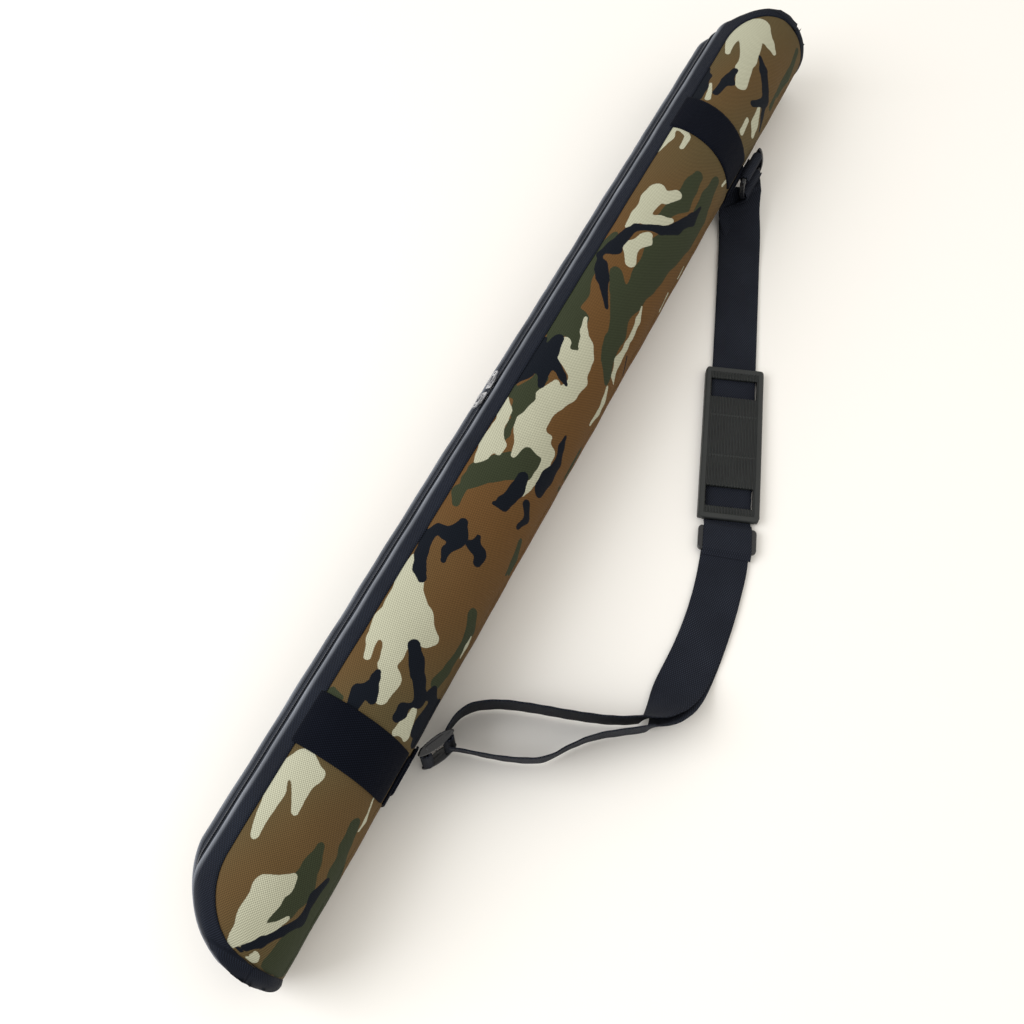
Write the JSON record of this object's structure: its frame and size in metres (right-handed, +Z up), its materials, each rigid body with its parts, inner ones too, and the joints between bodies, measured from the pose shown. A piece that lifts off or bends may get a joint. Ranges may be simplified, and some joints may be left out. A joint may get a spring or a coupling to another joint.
{
  "type": "semi-rigid fishing rod case",
  "caption": "Tube-shaped padded rod case with camouflage cloth, side zip, webbing bands, ring-mounted shoulder strap and sliding rubber pad.",
  "frame": {"origin": "floor point under the middle of the case's length and axis, without the strap", "axes": "+X along the case, +Y to the side with the zip, +Z up"},
  "size_m": [1.0008, 0.2807, 0.1002],
  "materials": {
    "camouflage_cloth": "woven polyester with a printed woodland pattern",
    "black_cloth": "black woven polyester",
    "webbing": "black polypropylene webbing",
    "zip_tape": "black zip tape",
    "zip_coil": "black nylon coil",
    "nickel": "bright nickel-plated zinc",
    "foam": "stiff foam board",
    "lining": "dark lining cloth",
    "pad_rubber": "dark grey moulded rubber",
    "ring_plastic": "black acetal"
  },
  "bodies": {
    "back": {"back_shell": "foam", "back_cover": "camouflage_cloth", "back_border": "black_cloth", "back_lining": "lining", "back_zip_tape": "zip_tape", "back_zip_coil": "zip_coil", "zip_stops": "nickel", "spine_tape": "lining", "upper_band_back": "webbing", "lower_band_back": "webbing", "upper_ring_tab": "webbing", "lower_ring_tab": "webbing", "adjuster": "ring_plastic", "strap_main": "webbing", "strap_return": "webbing"},
    "lid": {"lid_shell": "foam", "lid_cover": "camouflage_cloth", "lid_border": "black_cloth", "lid_lining": "lining", "lid_zip_tape": "zip_tape", "lid_zip_coil": "zip_coil", "upper_band_front": "webbing", "lower_band_front": "webbing"},
    "upper_slider": {"upper_slider": "nickel"},
    "lower_slider": {"lower_slider": "nickel"},
    "upper_pull": {"upper_pull": "nickel"},
    "lower_pull": {"lower_pull": "nickel"},
    "upper_ring": {"upper_ring": "ring_plastic", "upper_strap_loop": "webbing"},
    "lower_ring": {"lower_ring": "ring_plastic", "lower_strap_loop": "webbing"},
    "shoulder_pad": {"shoulder_pad": "pad_rubber"}
  },
  "joints": [
    {"name": "lid_hinge", "type": "hinge", "parent": "back", "child": "lid", "pos_m": [0, -0.04981, 0.05316], "axis": [1, 0, 0], "range_deg": [0, 110]},
    {"name": "upper_zip_slide", "type": "slide", "parent": "back", "child": "upper_slider", "axis": [1, 0, 0], "range_m": [0, 0.438]},
    {"name": "lower_zip_slide", "type": "slide", "parent": "back", "child": "lower_slider", "axis": [-1, 0, 0], "range_m": [0, 0.388]},
    {"name": "upper_pull_hinge", "type": "hinge", "parent": "upper_slider", "child": "upper_pull", "pos_m": [-0.0165, 0.04041, 0.08271], "axis": [0, -0.6428, 0.766], "range_deg": [0, 115]},
    {"name": "lower_pull_hinge", "type": "hinge", "parent": "lower_slider", "child": "lower_pull", "pos_m": [-0.034, 0.04041, 0.08271], "axis": [0, 0.6428, -0.766], "range_deg": [0, 115]},
    {"name": "upper_ring_hinge", "type": "hinge", "parent": "back", "child": "upper_ring", "pos_m": [0.34, -0.0571, 0.0436], "axis": [1, 0, 0], "range_deg": [0, 15]},
    {"name": "lower_ring_hinge", "type": "hinge", "parent": "back", "child": "lower_ring", "pos_m": [-0.306, -0.0576, 0.0236], "axis": [0, 0, 1], "range_deg": [-8, 8]},
    {"name": "pad_slide", "type": "slide", "parent": "back", "child": "shoulder_pad", "axis": [0.9373, 0.3486, 0], "range_m": [0, 0.09]}
  ]
}
